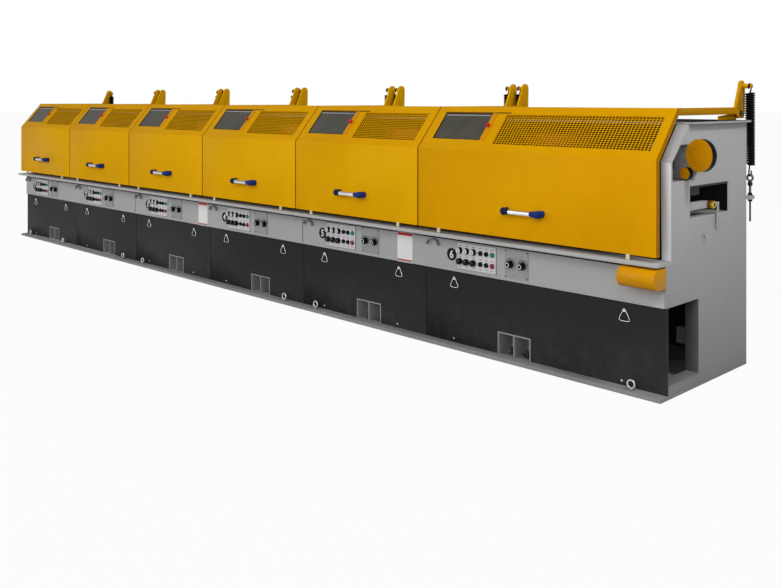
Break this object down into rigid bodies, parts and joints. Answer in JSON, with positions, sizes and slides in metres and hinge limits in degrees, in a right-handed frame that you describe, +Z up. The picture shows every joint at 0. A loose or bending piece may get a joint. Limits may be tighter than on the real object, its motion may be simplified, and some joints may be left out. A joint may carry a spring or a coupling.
{
  "type": "straight-line wire drawing machine",
  "caption": "Long row of upright drawing blocks under hinged yellow guards with sprung levers, on a steel base with anchor pockets, a front control band and outlet guide pulleys.",
  "frame": {"origin": "on the floor, in the middle of the base plates", "axes": "+X along the row towards the outlet end, -Y towards the operator, +Z up"},
  "size_m": [9.2679, 1.309, 1.882],
  "materials": {
    "guard_yellow": "semi-gloss paint",
    "frame_grey": "semi-gloss paint",
    "charcoal_paint": "satin paint",
    "dark_steel": "oiled",
    "bright_steel": "zinc plated",
    "bare_plate": "anodised",
    "brass": "worn",
    "black_plastic": "gloss",
    "handle_metal": "satin",
    "tinted_glass": "tinted",
    "block_orange": "paint, bright drum",
    "spring_black": "black oxide"
  },
  "bodies": {
    "machine": {"base_frame": "frame_grey", "lifting_eyes": "dark_steel", "anchor_pockets": "frame_grey", "lower_panels": "charcoal_paint", "panel_pulls": "bright_steel", "control_band": "frame_grey", "front_rail": "frame_grey", "rail_tabs": "frame_grey", "deck": "dark_steel", "rear_panels": "frame_grey", "roof_plates": "frame_grey", "near_end_wall": "frame_grey", "far_end_wall": "frame_grey", "pivot_brackets": "guard_yellow", "spring_anchors": "frame_grey", "spring_adjusters": "bright_steel", "guide_bracket": "frame_grey", "outlet_guide": "brass", "roller_cover": "guard_yellow", "control_plates": "bare_plate", "control_knobs": "black_plastic", "drawing_blocks": "block_orange", "die_boxes": "dark_steel", "junction_box": "frame_grey", "springs_1": "spring_black", "springs_2": "spring_black", "springs_3": "spring_black", "springs_4": "spring_black", "springs_5": "spring_black", "springs_6": "spring_black"},
    "guard_1_body": {"guard_1": "guard_yellow", "window_1": "tinted_glass", "mesh_panel_1": "guard_yellow", "handle_1": "handle_metal"},
    "guard_2_body": {"guard_2": "guard_yellow", "window_2": "tinted_glass", "mesh_panel_2": "guard_yellow", "handle_2": "handle_metal"},
    "guard_3_body": {"guard_3": "guard_yellow", "window_3": "tinted_glass", "mesh_panel_3": "guard_yellow", "handle_3": "handle_metal"},
    "guard_4_body": {"guard_4": "guard_yellow", "window_4": "tinted_glass", "mesh_panel_4": "guard_yellow", "handle_4": "handle_metal"},
    "guard_5_body": {"guard_5": "guard_yellow", "window_5": "tinted_glass", "mesh_panel_5": "guard_yellow", "handle_5": "handle_metal"},
    "guard_6_body": {"guard_6": "guard_yellow", "window_6": "tinted_glass", "mesh_panel_6": "guard_yellow", "handle_6": "handle_metal"},
    "guide_pulley_body": {"guide_pulley": "guard_yellow"},
    "guide_roller_body": {"guide_roller": "guard_yellow"}
  },
  "joints": [
    {"name": "guard_1_hinge", "type": "hinge", "parent": "machine", "child": "guard_1_body", "pos_m": [-3.8125, 0.589, 1.662], "axis": [-1, 0, 0], "range_deg": [0, 62], "deforming": ["springs_1"]},
    {"name": "guard_2_hinge", "type": "hinge", "parent": "machine", "child": "guard_2_body", "pos_m": [-2.3875, 0.589, 1.662], "axis": [-1, 0, 0], "range_deg": [0, 62], "deforming": ["springs_2"]},
    {"name": "guard_3_hinge", "type": "hinge", "parent": "machine", "child": "guard_3_body", "pos_m": [-0.9625, 0.589, 1.662], "axis": [-1, 0, 0], "range_deg": [0, 62], "deforming": ["springs_3"]},
    {"name": "guard_4_hinge", "type": "hinge", "parent": "machine", "child": "guard_4_body", "pos_m": [0.4625, 0.589, 1.662], "axis": [-1, 0, 0], "range_deg": [0, 62], "deforming": ["springs_4"]},
    {"name": "guard_5_hinge", "type": "hinge", "parent": "machine", "child": "guard_5_body", "pos_m": [1.8875, 0.589, 1.662], "axis": [-1, 0, 0], "range_deg": [0, 62], "deforming": ["springs_5"]},
    {"name": "guard_6_hinge", "type": "hinge", "parent": "machine", "child": "guard_6_body", "pos_m": [3.5625, 0.589, 1.662], "axis": [-1, 0, 0], "range_deg": [0, 62], "deforming": ["springs_6"]},
    {"name": "guide_pulley_spin", "type": "hinge", "parent": "machine", "child": "guide_pulley_body", "pos_m": [4.63369, -0.28883, 1.424], "axis": [0.2419, 0.9703, 0], "continuous": true},
    {"name": "guide_roller_spin", "type": "hinge", "parent": "machine", "child": "guide_roller_body", "pos_m": [4.52574, -0.25883, 1.311], "axis": [0.2419, 0.9703, 0], "continuous": true}
  ]
}
